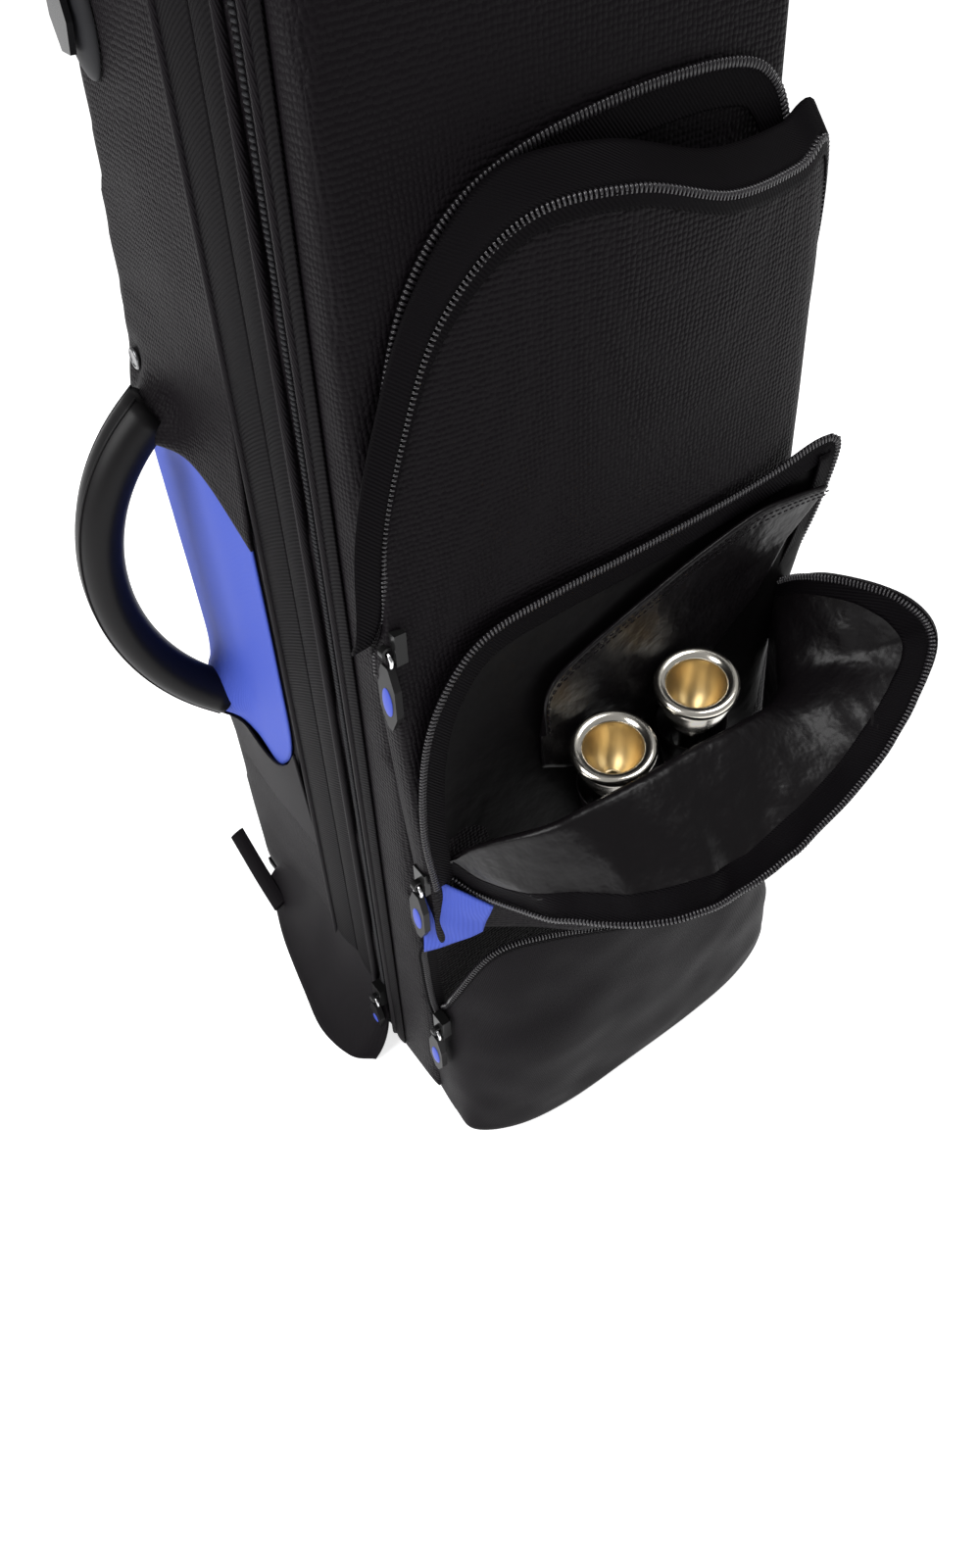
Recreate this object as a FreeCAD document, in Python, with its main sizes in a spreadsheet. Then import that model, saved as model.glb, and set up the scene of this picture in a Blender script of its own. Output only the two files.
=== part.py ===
import FreeCAD, Part
import math
import os
import re
import Sketcher

# An upright padded bag for a tenor trombone, standing on its base, in millimetres.
# +Z is up, the pockets are on the -Y side, and the origin is the middle of the base.

# ---------------------------------------------------------------- driving dimensions
SIZES = {
    "base_width": 240.8,         # across the base
    "side_taper": 0.0582,        # each side leans in by this much per mm of height
    "arch_start": 817.0,         # height where the straight sides end and the top arch begins
    "front_base": 110.7,         # front face ahead of the origin, at the floor
    "front_lean": 0.0407,        # the front face leans back by this much per mm of height
    "seam_y": -57.0,             # the main zip runs round the bag in this plane
    "seam_gap": 4.0,
    "padding": 12.0,             # foam and lining of the rear shell
    "lid_padding": 10.0,
    "base_thick": 6.0,
    "level_one": 200.0,          # heights where the back profile changes slope
    "level_two": 345.0,
    "level_three": 500.0,
    "level_four": 680.0,
    "back_floor": 106.0,         # how far the back is behind the origin at the floor
    "back_one": 109.0,           # and at each of those levels
    "back_two": 122.0,
    "back_three": 87.0,
    "back_four": 50.0,
    "back_top": 40.0,
    "piping_out": 3.0,
    "band_out": 1.2,
    "fabric": 2.5,               # doubled and lined pocket cloth
    "pocket_inset": 6.0,         # pockets stop this far inside the bag's side faces
    "lower_depth": 50.0,
    "lower_top": 104.0,
    "mid_bottom": 156.0,
    "mid_fold_left": 204.0,      # the middle pocket's front folds down along a line that rises
    "mid_fold_right": 266.0,     # from its left end to its right end
    "mid_depth": 58.0,
    "upper_bottom": 150.0,
    "upper_top": 332.0,
    "upper_depth": 14.0,
    "upper_flap_tall": 130.0,
    "upper_flap_lean": 8.0,
    "mid_flap_long": 56.0,
    "mid_flap_droop": 6.0,
    "lower_flap_tall": 30.0,
    "lower_flap_lean": 6.0,
    "flap_corner": 26.0,
    "sleeve_outer": 16.9,
    "sleeve_inner": 15.7,
    "sleeve_bottom": 160.0,
    "sleeve_top": 222.0,
    "sleeve_ahead": 38.0,
    "mouth_left": -19.0,
    "mouth_right": 29.0,
    "rim_left": 251.0,
    "rim_right": 260.0,
    "handle_curve": 94.5,        # radius of the side handle's centre line
    "handle_grip": 12.0,
    "handle_chord": 150.0,
    "handle_middle": 270.0,
    "handle_y": 71.0,
    "handle_away": 13.6,
    "handle_facing": 15.0,       # degrees from straight out to the left, towards the back
    "slider_long": 14.0,
    "slider_wide": 9.0,
    "slider_thick": 5.0,
    "slider_clear": 0.7,
    "lug_out": 7.2,              # the pull's pivot stands this far off the cloth
    "lug_drop": 2.0,
    "ring_big": 3.5,
    "ring_wire": 0.8,
    "pull_long": 32.0,
    "pull_wide": 12.0,
    "pull_thick": 3.2,
}

# The height where each zip slider rests, and how far the pocket zips run ahead of the front face.
SLIDER_HEIGHTS = {"main": 44.0, "upper": 332.0, "mid": 200.0, "lower": 81.0}
POCKET_ZIP_AHEAD = 8.6

document = FreeCAD.newDocument("trombone_bag")
sheet = document.addObject("Spreadsheet::Sheet", "Sizes")
for row, (alias, value) in enumerate(SIZES.items(), start=1):
    sheet.set("A%d" % row, alias)
    sheet.set("B%d" % row, repr(value))
    sheet.setAlias("B%d" % row, alias)
document.recompute()

nodes = []


# ---------------------------------------------------------------- helpers
def size(alias):
    return float(sheet.get(alias))


def formula(text):
    """Turn aliases in a plain formula into references to the sheet."""
    return re.sub(r"[a-z_]+", lambda word: "Sizes." + word[0] if word[0] in SIZES else word[0], str(text))


def bind(item, bindings):
    for name, text in bindings.items():
        item.setExpression(name, formula(text))


def place(item, base=(0, 0, 0), axis=(0, 0, 1), angle="0"):
    """Bind an object's place: a base point of formulas and a turn about one axis."""
    item.Placement = FreeCAD.Placement(FreeCAD.Vector(0, 0, 0), FreeCAD.Rotation(FreeCAD.Vector(*axis), 1))
    for letter, text in zip("xyz", base):
        item.setExpression("Placement.Base." + letter, formula(text))
    item.setExpression("Placement.Rotation.Angle", formula(angle))


def node(item, label):
    item.Label = label
    nodes.append(item)
    return item


def solid(kind, name, bindings):
    item = document.addObject("Part::" + kind, name)
    bind(item, bindings)
    return item


def cut(name, base, tool):
    item = document.addObject("Part::Cut", name)
    item.Base = base
    item.Tool = tool
    return item


def fuse(name, pieces):
    item = document.addObject("Part::MultiFuse", name)
    item.Shapes = pieces
    return item


def group(name, pieces):
    item = document.addObject("Part::Compound", name)
    item.Links = pieces
    return item


def box(name, spans):
    """A box from formulas for its low and high corner: ((x, y, z), (x, y, z))."""
    low, high = spans
    lengths = ["(%s) - (%s)" % (high[axis], low[axis]) for axis in range(3)]
    item = solid("Box", name, dict(zip(("Length", "Width", "Height"), lengths)))
    place(item, low)
    return item


def half_width(level, inset="0"):
    return "base_width / 2 - side_taper * (%s) - (%s)" % (level, inset)


def tapered_block(name, low, high, inset, front, back, back_high=None, front_high=None):
    """A block between two levels whose sides follow the bag's taper. Front and back are formulas in Y."""
    back_high = back if back_high is None else back_high
    front_high = front if front_high is None else front_high
    item = solid("Wedge", name, {
        "Ymin": low, "Ymax": high,
        "Xmin": "-(%s)" % half_width(low, inset), "Xmax": half_width(low, inset),
        "X2min": "-(%s)" % half_width(high, inset), "X2max": half_width(high, inset),
        "Zmin": "-(%s)" % back, "Zmax": "-(%s)" % front,
        "Z2min": "-(%s)" % back_high, "Z2max": "-(%s)" % front_high,
    })
    place(item, axis=(1, 0, 0), angle="90")
    return item


def arch(name, inset, front, back):
    """The rounded top: a cylinder lying along Y whose lower half is inside the blocks."""
    item = solid("Cylinder", name, {
        "Radius": half_width("arch_start", inset),
        "Height": "(%s) - (%s)" % (back, front),
    })
    place(item, ("0", back, "arch_start"), (1, 0, 0), "90")
    return item


def outline_ring(label, outside, front, back, inside="-0.05"):
    """A band of cloth round the sides and the arch, from `inside` to `outside` proud of the shell."""
    bottom = "10"
    outer = fuse(label + "_outer", [
        tapered_block(label + "_sides", bottom, "arch_start", "-(%s)" % outside, front, back),
        arch(label + "_top", "-(%s)" % outside, front, back)])
    inner = fuse(label + "_inner", [
        tapered_block(label + "_hole", bottom + " - 20", "arch_start", inside,
                      "(%s) - 1" % front, "(%s) + 1" % back),
        arch(label + "_hole_top", inside, "(%s) - 1" % front, "(%s) + 1" % back)])
    return node(cut(label + "_ring", outer, inner), label)


def on_front(item, base=("0", "0", "0"), upright=False, lean="0"):
    """Put a piece drawn with Z up (or, upright, with Y up) onto the leaning front face."""
    slope = "atan(front_lean)"
    turn = "(%s) * 1 deg - %s" % (lean, slope)
    if upright:
        turn += " + 90 deg"
    x, ahead, height = base
    y = "-front_base - (%s) * cos(%s) + (%s) * sin(%s)" % (ahead, slope, height, slope)
    z = "(%s) * cos(%s) + (%s) * sin(%s)" % (height, slope, ahead, slope)
    place(item, (x, y, z), (1, 0, 0), turn)


def on_left_side(item, base=("0", "0", "0")):
    """Put a piece on the leaning left face: its -X looks out, its Z runs up the face."""
    out, y, height = base
    place(item, ("-(%s) - (%s)" % (half_width(height), out), y, height), (0, 1, 0), "atan(side_taper)")


def body(name):
    return document.addObject("PartDesign::Body", name)


def origin_plane(owner, role):
    return next(item for item in owner.Origin.OriginFeatures if item.Role == role)


def sketch_polygon(owner, name, role, corners):
    """A closed outline whose corners are formulas, each corner pinned to the sheet."""
    sketch = owner.newObject("Sketcher::SketchObject", name)
    sketch.AttachmentSupport = [(origin_plane(owner, role), "")]
    sketch.MapMode = "FlatFace"
    points = [FreeCAD.Vector(number(x), number(y), 0) for x, y in corners]
    for index, point in enumerate(points):
        sketch.addGeometry(Part.LineSegment(point, points[(index + 1) % len(points)]))
    for index, point in enumerate(points):
        following = (index + 1) % len(points)
        sketch.addConstraint(Sketcher.Constraint("Coincident", index, 2, following, 1))
    for index, (x, y) in enumerate(corners):
        for kind, text, value in (("DistanceX", x, points[index].x), ("DistanceY", y, points[index].y)):
            row = sketch.addConstraint(Sketcher.Constraint(kind, -1, 1, index, 1, value))
            sketch.setExpression("Constraints[%d]" % row, formula(text))
    return sketch


def number(text):
    """The value of a formula of the sheet's aliases."""
    words = {alias: size(alias) for alias in SIZES}
    return float(FreeCAD.Units.Quantity(re.sub(r"[a-z_]+", lambda word: "(%r)" % words[word[0]]
                                               if word[0] in words else word[0], str(text))).Value)


def pad(owner, sketch, length, centred=False):
    item = owner.newObject("PartDesign::Pad", sketch.Name + "_pad")
    item.Profile = sketch
    item.Midplane = centred
    bind(item, {"Length": length})
    document.recompute()
    return item


def round_edges(owner, base, along, keep, radius):
    """Fillet the straight edges parallel to `along` whose middle passes the test `keep`."""
    direction = FreeCAD.Vector(*along)
    names = []
    for index, edge in enumerate(base.Shape.Edges, start=1):
        run = edge.Vertexes[-1].Point - edge.Vertexes[0].Point
        if run.Length > 0 and run.getAngle(direction) % math.pi < 0.01 and keep(edge.CenterOfMass):
            names.append("Edge%d" % index)
    item = owner.newObject("PartDesign::Fillet", owner.Name + "_round")
    item.Base = (base, names)
    bind(item, {"Radius": radius})
    return item


# ---------------------------------------------------------------- case: base, rear shell, lining
def make_base_panel():
    item = box("base_plate", (("-base_width / 2 + 2", "seam_y + seam_gap / 2", "0"),
                              ("base_width / 2 - 2", "back_floor - 1", "base_thick")))
    node(item, "base_panel")


def make_rear_shell():
    front = "seam_y + seam_gap / 2"
    backs = ("back_floor", "back_one", "back_two", "back_three", "back_four", "back_top")
    levels = ("base_thick", "level_one", "level_two", "level_three", "level_four", "arch_start")
    outer = []
    inner = []
    for step in range(len(levels) - 1):
        low, high = levels[step], levels[step + 1]
        inner_low = low if step else "base_thick + padding"
        outer.append(tapered_block("rear_outer_%d" % step, low, high, "0", front,
                                   backs[step], backs[step + 1]))
        inner.append(tapered_block("rear_inner_%d" % step, inner_low, high, "padding", front + " - 1",
                                   backs[step] + " - padding", backs[step + 1] + " - padding"))
    outer.append(arch("rear_arch", "0", front, "back_top"))
    inner.append(arch("rear_arch_inner", "padding", front + " - 1", "back_top - padding"))
    node(cut("rear_walls", fuse("rear_outer", outer), fuse("rear_inner", inner)), "rear_shell")


def make_foam_blocks():
    item = box("floor_foam", (("-base_width / 2 + padding + 2", "seam_y + 6", "base_thick + padding + 0.1"),
                              ("base_width / 2 - padding - 2", "back_floor - padding - 1",
                               "base_thick + padding + 15")))
    node(item, "floor_pad")
    low, high = "560", "600"
    block = tapered_block("neck_foam", low, high, "padding + 0.3", "seam_y + 12", "52")
    notch = solid("Cylinder", "neck_notch", {"Radius": "26", "Height": "60"})
    place(notch, ("0", "seam_y + 12", "550"))
    node(cut("neck_cut", block, notch), "neck_block")


def make_bands():
    """The piping, the two cloth bands and the zip tape of the rear shell."""
    outline_ring("rear_piping", "piping_out", "-5", "-1")
    outline_ring("side_band", "band_out", "-30", "-5.3")
    outline_ring("zip_band", "band_out", "-46.6", "-30.6")
    outline_ring("zip_piping", "piping_out", "-50", "-47")
    outline_ring("main_zip_tape", "0", "seam_y - 1.2", "seam_y + seam_gap / 2 - 0.05", inside="2")


# ---------------------------------------------------------------- case: back pads, straps, handles
BACK_SLOPE = "atan((back_two - back_four) / (level_four - level_two))"


def on_back(item, x, off, run):
    """Lay a piece on the sloping upper back: Z runs up the slope from level_two."""
    sine = "sin(%s)" % BACK_SLOPE
    cosine = "cos(%s)" % BACK_SLOPE
    y = "back_two + (%s) * %s - (%s) * %s" % (off, cosine, run, sine)
    z = "level_two + (%s) * %s + (%s) * %s" % (off, sine, run, cosine)
    place(item, (x, y, z), (1, 0, 0), BACK_SLOPE)


def back_slab(label, x, wide, off, thick, run, tall, corner):
    owner = body(label + "_body")
    sketch = sketch_polygon(owner, label + "_face", "XZ_Plane", [
        ("-(%s) / 2" % wide, "0"), ("(%s) / 2" % wide, "0"),
        ("(%s) / 2" % wide, tall), ("-(%s) / 2" % wide, tall)])
    slab = pad(owner, sketch, thick)
    round_edges(owner, slab, (0, 1, 0), lambda middle: True, corner)
    on_back(owner, x, "(%s) + (%s)" % (off, thick), run)
    return node(owner, label)


def make_back_pads():
    back_slab("upper_back_pad", "0", "92", "3.4", "9", "40", "250", "20")
    owner = body("lumbar_body")
    sketch = sketch_polygon(owner, "lumbar_face", "XZ_Plane", [
        ("-76", "0"), ("76", "0"), ("76", "130"), ("-76", "130")])
    slab = pad(owner, sketch, "9")
    round_edges(owner, slab, (0, 1, 0), lambda middle: True, "24")
    place(owner, ("0", "back_one + 10.2", "level_one + 6"), (1, 0, 0),
          "-atan((back_two - back_one) / (level_two - level_one))")
    node(owner, "lumbar_pad")


def make_shoulder_straps():
    for side, sign in (("left", -1), ("right", 1)):
        back_slab("shoulder_strap_" + side, "%d * 44" % sign, "50", "13.2", "10", "-6", "300", "16")
        webbing = box("webbing_tape_" + side, (("%d * 44 - 12.5" % sign, "back_two + 14.4", "70"),
                                               ("%d * 44 + 12.5" % sign, "back_two + 16.2", "344")))
        node(webbing, "strap_webbing_" + side)
    buckles = []
    anchors = []
    for side, sign in (("left", -1), ("right", 1)):
        frame = box("buckle_frame_" + side, (("%d * 44 - 17" % sign, "back_two + 12", "286"),
                                             ("%d * 44 + 17" % sign, "back_two + 18.6", "318")))
        slot = box("buckle_slot_" + side, (("%d * 44 - 13.2" % sign, "back_two + 14", "280"),
                                           ("%d * 44 + 13.2" % sign, "back_two + 16.6", "324")))
        buckles.append(cut("buckle_" + side, frame, slot))
        anchors.append(box("anchor_" + side, (("%d * 44 - 16" % sign, "back_floor + 5", "50"),
                                              ("%d * 44 + 16" % sign, "back_two + 14.2", "84"))))
    node(group("ladder_locks", buckles), "strap_buckles")
    node(group("anchor_tabs", anchors), "strap_anchors")


def make_haul_loop():
    """A webbing loop on the upper back that lifts the bag."""
    strap = box("haul_strap", (("-14", "back_four + 30", "700"), ("14", "back_four + 33", "800")))
    feet = [box("haul_foot_%d" % low, (("-14", "back_top + 2.5", str(low)),
                                       ("14", "back_four + 30", str(low + 12))))
            for low in (700, 788)]
    node(fuse("haul_pieces", [strap] + feet), "haul_loop")


def make_side_handle():
    """A moulded grip bent to an arc, standing out from the left side near the back."""
    span = "2 * asin(handle_chord / 2 / handle_curve)"
    grip = solid("Torus", "handle_arc", {
        "Radius1": "handle_curve", "Radius2": "handle_grip", "Angle3": span})
    reach = "handle_curve * cos(asin(handle_chord / 2 / handle_curve))"
    # the arc is drawn in XY from +X round Z; its chord is turned upright, facing out and back
    flat = FreeCAD.Rotation(FreeCAD.Vector(0, 0, 1), -math.degrees(
        math.asin(size("handle_chord") / 2 / size("handle_curve"))))
    upright = FreeCAD.Rotation(FreeCAD.Vector(1, 0, 0), 90)
    facing = FreeCAD.Rotation(FreeCAD.Vector(0, 0, 1), 180 - size("handle_facing"))
    lean = FreeCAD.Rotation(FreeCAD.Vector(0, 1, 0), math.degrees(math.atan(size("side_taper"))))
    turn = lean * facing * upright * flat
    outward = lean.multVec(facing.multVec(FreeCAD.Vector(1, 0, 0)))
    centre = handle_axis_point() - outward * number(reach)
    grip.Placement = FreeCAD.Placement(centre, turn)
    node(grip, "side_handle")


def handle_axis_point():
    """The middle of the line that the side handle swings about."""
    away = size("handle_away")
    facing = math.radians(size("handle_facing"))
    x = -number(half_width("handle_middle")) - away * math.cos(facing)
    return FreeCAD.Vector(x, size("handle_y") + away * math.sin(facing), size("handle_middle"))


def make_handle_tabs():
    """Cloth-covered blocks that hold the two ends of the handle on the left side."""
    tabs = []
    for name, turn in (("top", 1), ("bottom", -1)):
        centre = handle_axis_point() + FreeCAD.Vector(size("side_taper"), 0, 1) * (
            turn * (size("handle_chord") / 2 + 20))
        tab = document.addObject("Part::Box", "handle_tab_" + name)
        bind(tab, {"Length": "handle_away + 13", "Width": "26", "Height": "16"})
        turned = FreeCAD.Rotation(FreeCAD.Vector(0, 0, 1), -size("handle_facing"))
        corner = turned.multVec(FreeCAD.Vector(-9, -13, -8))
        tab.Placement = FreeCAD.Placement(centre + corner, turned)
        tabs.append(tab)
    node(group("handle_tab_pair", tabs), "handle_tabs")


def make_side_trim():
    """The blue panel, the press stud and the strap fitting on the left side."""
    owner = body("blue_panel_body")
    sketch = sketch_polygon(owner, "blue_panel_face", "YZ_Plane", [
        ("34", "0"), ("96", "0"), ("104", "30"), ("106", "130"), ("98", "169"), ("11", "163"), ("8", "30")])
    pad(owner, sketch, "1.2")
    on_left_side(owner, ("1.3", "0", "163"))
    node(owner, "blue_side_panel")

    stud = solid("Cylinder", "stud_cap", {"Radius": "4.5", "Height": "2.4"})
    rim = solid("Torus", "stud_rim", {"Radius1": "4", "Radius2": "1.1"})
    for item, out in ((stud, "2.5"), (rim, "1.8")):
        place(item, ("-(%s) - %s" % (half_width("365"), out), "101", "365"), (0, 1, 0),
              "90 deg + atan(side_taper)")
    node(fuse("stud_pieces", [stud, rim]), "press_stud")

    plate = solid("Ellipsoid", "fitting_dome", {"Radius1": "22", "Radius2": "5", "Radius3": "13"})
    on_left_side(plate, ("0.2", "68", "500"))
    back_half = box("fitting_back", (("0.15", "-40", "-40"), ("40", "40", "40")))
    on_left_side(back_half, ("0.2", "28", "460"))
    node(cut("fitting_half", plate, back_half), "strap_fitting")

    owner = body("fitting_tab_body")
    sketch = sketch_polygon(owner, "fitting_tab_face", "YZ_Plane", [
        ("-5", "0"), ("5", "0"), ("8", "-16"), ("4", "-26"), ("-4", "-26"), ("-8", "-16")])
    pad(owner, sketch, "2.4")
    on_left_side(owner, ("8.2", "68", "514"))
    node(owner, "fitting_tab")


def make_base_skirt():
    """A stiff cloth wing that flares out from the foot of the left side to the ground."""
    owner = body("skirt_body")
    top = "-(%s)" % half_width("70", "-3.8")
    sketch = sketch_polygon(owner, "skirt_section", "XZ_Plane", [
        (top, "70"), (top + " - 3.2", "70"), (top + " - 13", "34"),
        (top + " - 32", "1"), (top + " - 27.6", "1"), (top + " - 9.6", "35")])
    pad(owner, sketch, "154")
    place(owner, ("0", "108", "0"))
    node(owner, "base_skirt")


# ---------------------------------------------------------------- lid
def make_lid_shell():
    back = "seam_y - seam_gap / 2"
    top_front = "-front_base + front_lean * arch_start"
    outer = [tapered_block("lid_outer", "2", "arch_start", "0", "-front_base + front_lean * 2", back,
                           back_high=back, front_high=top_front),
             arch("lid_arch", "0", top_front, back)]
    inner = [tapered_block("lid_inner", "2 + lid_padding", "arch_start", "lid_padding",
                           "-front_base + front_lean * 12 + lid_padding", back + " + 1",
                           back_high=back + " + 1", front_high=top_front + " + lid_padding"),
             arch("lid_arch_inner", "lid_padding", top_front + " + lid_padding", back + " + 1")]
    node(cut("lid_walls", fuse("lid_outer_all", outer), fuse("lid_inner_all", inner)), "lid_shell")


def make_lid_bands():
    outline_ring("lid_zip_piping", "piping_out", "-67", "-64")
    outline_ring("lid_side_band", "band_out", "-76", "-67.3")


def front_block(name, low, high, inset, ahead_far, ahead_near):
    """A tapered block on the leaning front face, between two distances ahead of it."""
    item = tapered_block(name, low, high, inset, "-(%s)" % ahead_far, "-(%s)" % ahead_near)
    on_front(item, upright=True)
    return item


def pocket(label, low, high, far, near, closed_back):
    """A cloth tray open at the top; its back is the piece behind it unless closed_back."""
    outer = front_block(label + "_outer", low, high, "pocket_inset", far, near)
    inner_near = "(%s) + fabric" % near if closed_back else "(%s) - 2" % near
    inner = front_block(label + "_inner", "(%s) + fabric" % low, "(%s) + 5" % high,
                        "pocket_inset + fabric", "(%s) - fabric" % far, inner_near)
    node(cut(label + "_tray", outer, inner), label)


def flap(label, wide, tall, ahead, level, lean, corner):
    """A cloth panel that stands on its hinge line and leans forward by `lean` degrees."""
    owner = flap_panel(label, wide, tall, corner)
    on_front(owner, ("0", ahead, level), lean=lean)


def flap_panel(label, wide, tall, corner):
    """A flat cloth panel with its lower edge on X and its two upper corners rounded."""
    owner = body(label + "_body")
    sketch = sketch_polygon(owner, label + "_face", "XZ_Plane", [
        ("-(%s)" % wide, "0"), (wide, "0"), (wide, tall), ("-(%s)" % wide, tall)])
    panel = pad(owner, sketch, "fabric")
    limit = number(tall) / 2
    round_edges(owner, panel, (0, 1, 0), lambda middle: middle.z > limit, corner)
    return node(owner, label)


def fold_turn():
    """Turns a piece's X along the fold line of the middle pocket, which rises to the right."""
    rise = size("mid_fold_right") - size("mid_fold_left")
    run = 2 * number(half_width("mid_fold_left", "pocket_inset"))
    onto_front = FreeCAD.Rotation(FreeCAD.Vector(1, 0, 0), -math.degrees(math.atan(size("front_lean"))))
    return onto_front * FreeCAD.Rotation(FreeCAD.Vector(0, 1, 0), -math.degrees(math.atan(rise / run)))


def fold_point(ahead, above):
    """The point on the bag's centre line, this far ahead of the front face and above the fold line."""
    height = (size("mid_fold_left") + size("mid_fold_right")) / 2 + above
    slope = math.atan(size("front_lean"))
    return FreeCAD.Vector(0, -size("front_base") - ahead * math.cos(slope) + height * math.sin(slope),
                          height * math.cos(slope) + ahead * math.sin(slope))


def make_mid_pocket():
    """A deep tray whose rim slants along the fold line."""
    near = "upper_depth + 0.2"
    outer = front_block("mid_outer", "mid_bottom", "mid_fold_right + 10", "pocket_inset", "mid_depth", near)
    inner = front_block("mid_inner", "mid_bottom + fabric", "mid_fold_right + 20", "pocket_inset + fabric",
                        "mid_depth - fabric", near + " + fabric")
    above = solid("Box", "mid_above", {"Length": "300", "Width": "mid_depth + 20", "Height": "120"})
    corner = fold_turn().multVec(FreeCAD.Vector(-150, 0, 0))
    above.Placement = FreeCAD.Placement(fold_point(size("mid_depth") + 5, 0) + corner, fold_turn())
    node(cut("mid_rim", cut("mid_tray", outer, inner), above), "mid_pocket")


def make_pockets():
    pocket("lower_pocket", "3", "lower_top", "lower_depth", "0.2", False)
    make_mid_pocket()
    make_mid_flap()
    pocket("upper_pocket", "upper_bottom", "upper_top", "upper_depth", "0.2", False)
    flap("lower_flap", half_width("lower_top + lower_flap_tall", "pocket_inset"), "lower_flap_tall",
         "lower_depth - fabric", "lower_top + 1", "lower_flap_lean", "18")
    flap("upper_flap", half_width("upper_top + upper_flap_tall", "pocket_inset"), "upper_flap_tall",
         "upper_depth - fabric", "upper_top + 1", "upper_flap_lean", "flap_corner + 20")


def make_mid_flap():
    """The front of the middle pocket, folded down along its slanting line."""
    panel = flap_panel("mid_flap", half_width("mid_fold_left", "pocket_inset + 3"), "mid_flap_long",
                       "flap_corner")
    folded = FreeCAD.Rotation(FreeCAD.Vector(1, 0, 0), 90 + size("mid_flap_droop"))
    panel.Placement = FreeCAD.Placement(fold_point(size("mid_depth") - 2, 3.8), fold_turn() * folded)


def make_blue_gusset():
    owner = body("blue_gusset_body")
    sketch = sketch_polygon(owner, "blue_gusset_face", "XZ_Plane", [
        ("-101", "0"), ("-52", "8"), ("-62", "40"), ("-100", "52")])
    pad(owner, sketch, "1.2")
    on_front(owner, ("0", "mid_depth + 0.1", "mid_bottom - 10"))
    node(owner, "blue_gusset")


def make_sleeves():
    thick = "sleeve_ahead - sleeve_outer - upper_depth - fabric - 0.6"
    backing = box("sleeve_back", (("-50", "0", "0"), ("68", thick, "sleeve_top - sleeve_bottom + 8")))
    on_front(backing, ("-50", "sleeve_ahead - sleeve_outer - 0.2", "sleeve_bottom"))
    tubes = []
    for side in ("left", "right"):
        outer = solid("Cylinder", "sleeve_outer_" + side, {
            "Radius": "sleeve_outer", "Height": "sleeve_top - sleeve_bottom"})
        inner = solid("Cylinder", "sleeve_bore_" + side, {
            "Radius": "sleeve_inner", "Height": "sleeve_top - sleeve_bottom"})
        on_front(outer, ("mouth_" + side, "sleeve_ahead", "sleeve_bottom"))
        on_front(inner, ("mouth_" + side, "sleeve_ahead", "sleeve_bottom + 1.6"))
        inner.setExpression("Height", formula("sleeve_top - sleeve_bottom + 10"))
        tubes.append(cut("sleeve_tube_" + side, outer, inner))
    node(group("sleeve_pieces", [backing] + tubes), "mouthpiece_sleeves")


def make_organiser_panel():
    owner = body("organiser_panel_body")
    sketch = sketch_polygon(owner, "organiser_panel_face", "XZ_Plane", [
        ("-45", "0"), ("86", "0"), ("98", "50"), ("36", "44"), ("-17", "36"), ("-38", "22")])
    panel = pad(owner, sketch, "fabric")
    round_edges(owner, panel, (0, 1, 0), lambda middle: middle.z > 1, "5")
    on_front(owner, ("0", "upper_depth + 0.8", "rim_right + 9"))
    node(owner, "organiser_panel")


def make_mouthpieces():
    """Turned brass: rim and cup at the top, shank down into the sleeve."""
    for side in ("left", "right"):
        owner = body("mouthpiece_turned_" + side)
        sketch = sketch_polygon(owner, "mouthpiece_half_" + side, "XZ_Plane", [
            ("15.4", "0"), ("18", "-0.4"), ("19.2", "-2.6"), ("18.3", "-7"), ("15.6", "-16"),
            ("12", "-26"), ("7.6", "-33"), ("5.6", "-41"), ("5.2", "-80"), ("4.2", "-80"),
            ("3.2", "-32"), ("8.6", "-23"), ("12", "-11"), ("12.8", "-2.4")])
        turned = owner.newObject("PartDesign::Revolution", "mouthpiece_spin_" + side)
        turned.Profile = sketch
        turned.ReferenceAxis = (sketch, ["V_Axis"])
        turned.Angle = 360
        on_front(owner, ("mouth_" + side, "sleeve_ahead", "rim_" + side))
        node(owner, "mouthpiece_" + side)


# ---------------------------------------------------------------- zip sliders and pulls
def slider_base(name):
    """Formulas for the point on the cloth where a slider sits: (distance out, y, level)."""
    level = repr(SLIDER_HEIGHTS[name])
    if name == "main":
        return ("slider_clear", "seam_y - 0.2", level)
    y = "-front_base + front_lean * %s - %r" % (level, POCKET_ZIP_AHEAD)
    return ("slider_clear - pocket_inset", y, level)


def at_slider(item, name, out, along, up, axis=(0, 1, 0), angle="atan(side_taper)"):
    """Place a piece from its slider's base point: out from the cloth, along Y, and up the side."""
    base_out, y, level = slider_base(name)
    x = "-(%s) - (%s) - (%s) + side_taper * (%s)" % (half_width(level), base_out, out, up)
    z = "%s + (%s) + side_taper * (%s)" % (level, up, out)
    place(item, (x, "%s + (%s)" % (y, along), z), axis, angle)


LUG_OUT = "lug_out - slider_clear"
PULL_TOP = "-lug_drop - 2 * ring_big + 1"


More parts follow.
